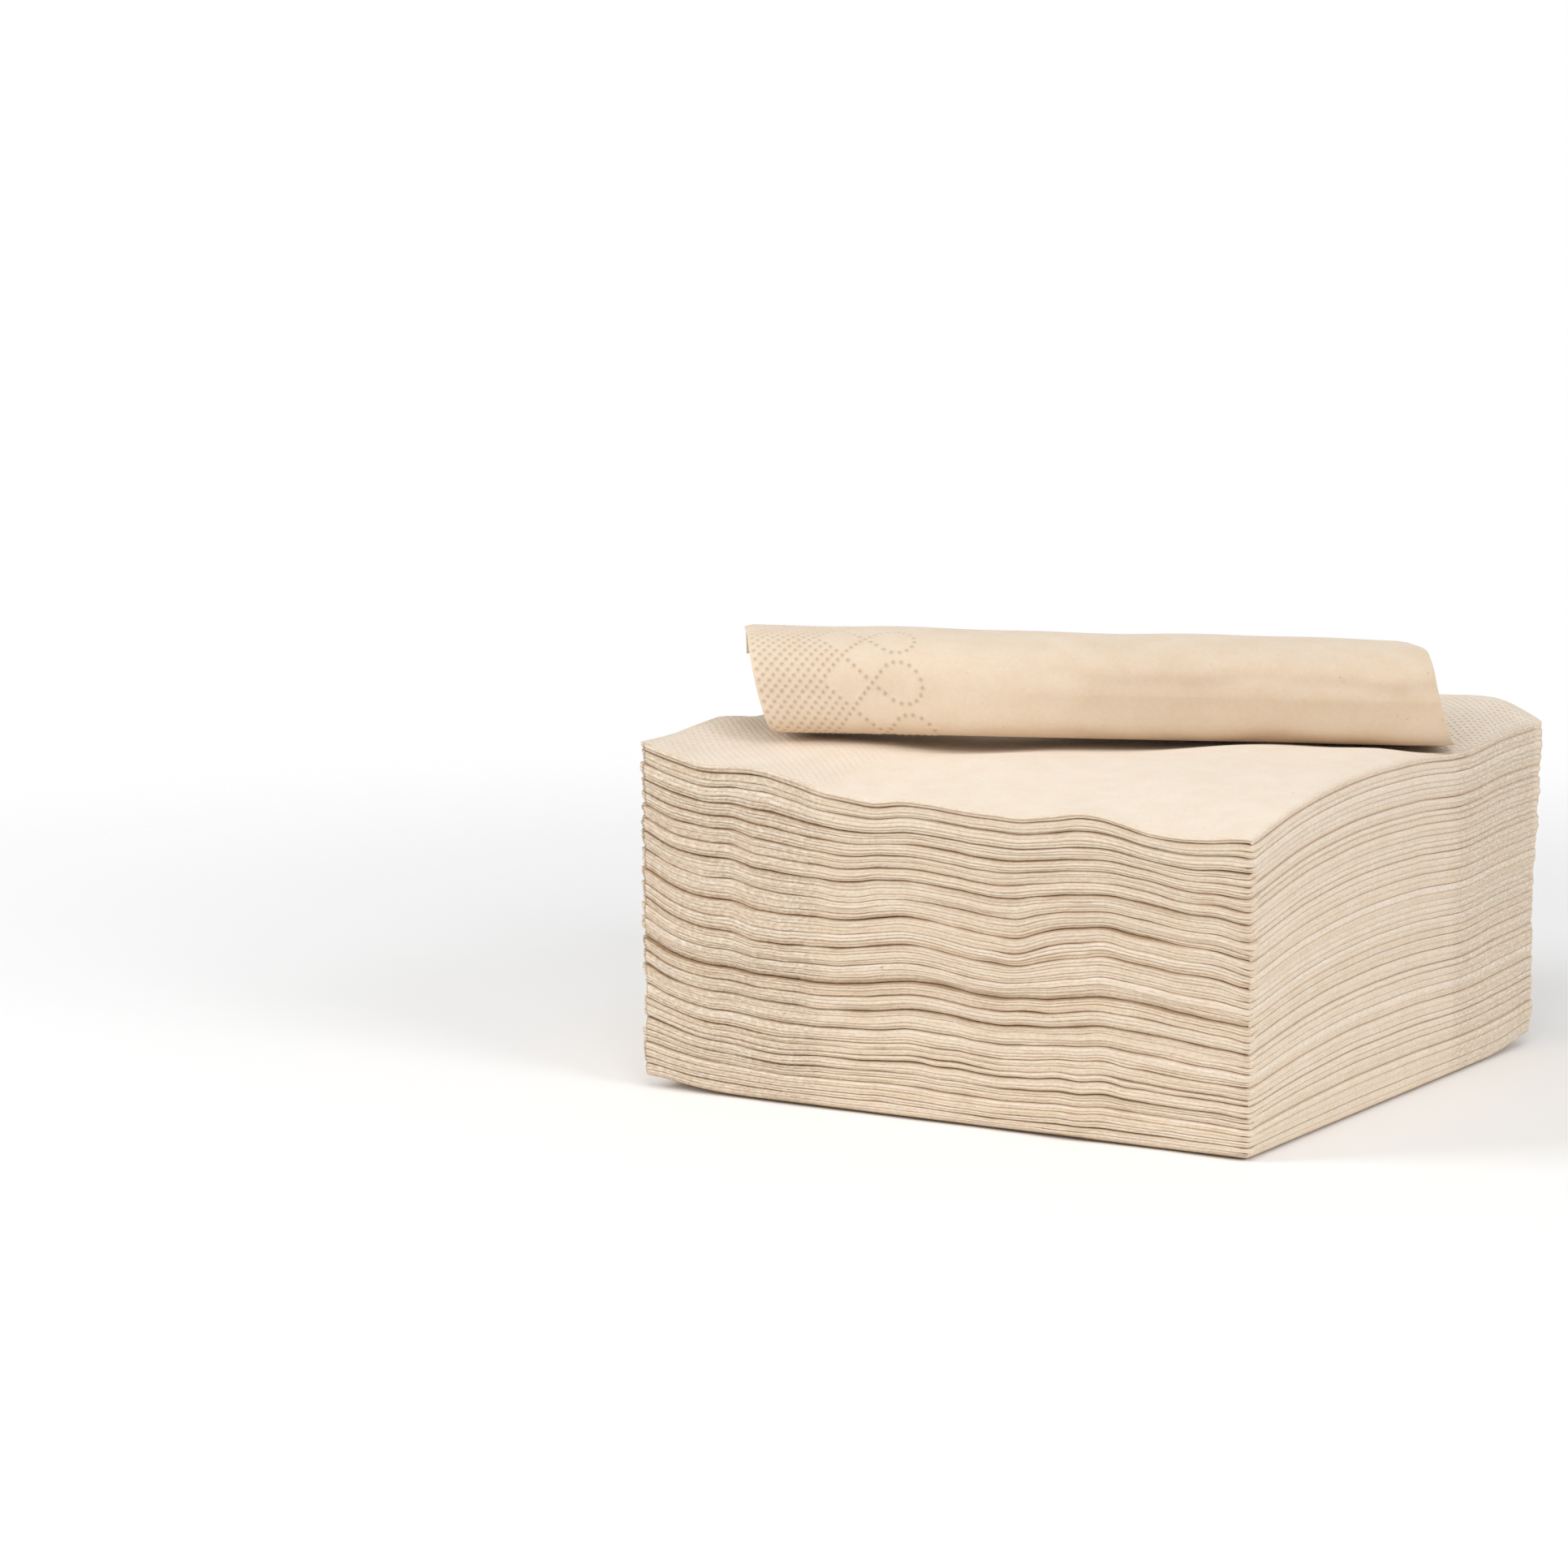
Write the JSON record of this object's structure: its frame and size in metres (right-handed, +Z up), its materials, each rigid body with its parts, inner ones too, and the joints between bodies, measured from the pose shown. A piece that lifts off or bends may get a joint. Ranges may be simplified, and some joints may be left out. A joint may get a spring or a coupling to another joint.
{
  "type": "stack of paper napkins",
  "caption": "Stack of square unbleached paper napkins, each folded twice, with one more napkin loosely rolled and lying on top.",
  "frame": {"origin": "middle of the flat underside of the stack, on the surface that it stands on", "axes": "+Z up through the stack; -Y is the side of the first folds, +X the side of the second folds"},
  "size_m": [0.1677, 0.1656, 0.1118],
  "materials": {
    "tissue": "matte, uncoated, unbleached"
  },
  "bodies": {
    "root": {"napkin_01": "tissue", "napkin_02": "tissue", "napkin_03": "tissue", "napkin_04": "tissue", "napkin_05": "tissue", "napkin_06": "tissue", "napkin_07": "tissue", "napkin_08": "tissue", "napkin_09": "tissue", "napkin_10": "tissue", "napkin_11": "tissue", "napkin_12": "tissue", "napkin_13": "tissue", "napkin_14": "tissue", "napkin_15": "tissue", "napkin_16": "tissue", "napkin_17": "tissue", "napkin_18": "tissue", "napkin_19": "tissue", "napkin_20": "tissue", "napkin_21": "tissue", "napkin_22": "tissue", "napkin_23": "tissue", "napkin_24": "tissue", "napkin_25": "tissue", "napkin_26": "tissue", "napkin_27": "tissue", "napkin_28": "tissue", "napkin_29": "tissue", "napkin_30": "tissue", "napkin_31": "tissue", "napkin_32": "tissue", "napkin_33": "tissue", "napkin_34": "tissue", "napkin_35": "tissue", "napkin_36": "tissue", "napkin_37": "tissue", "napkin_38": "tissue", "napkin_39": "tissue", "napkin_40": "tissue", "napkin_41": "tissue", "napkin_42": "tissue", "napkin_43": "tissue", "napkin_44": "tissue", "napkin_45": "tissue", "napkin_46": "tissue", "napkin_47": "tissue", "napkin_48": "tissue", "napkin_49": "tissue", "napkin_50": "tissue", "rolled_napkin": "tissue"}
  },
  "joints": []
}
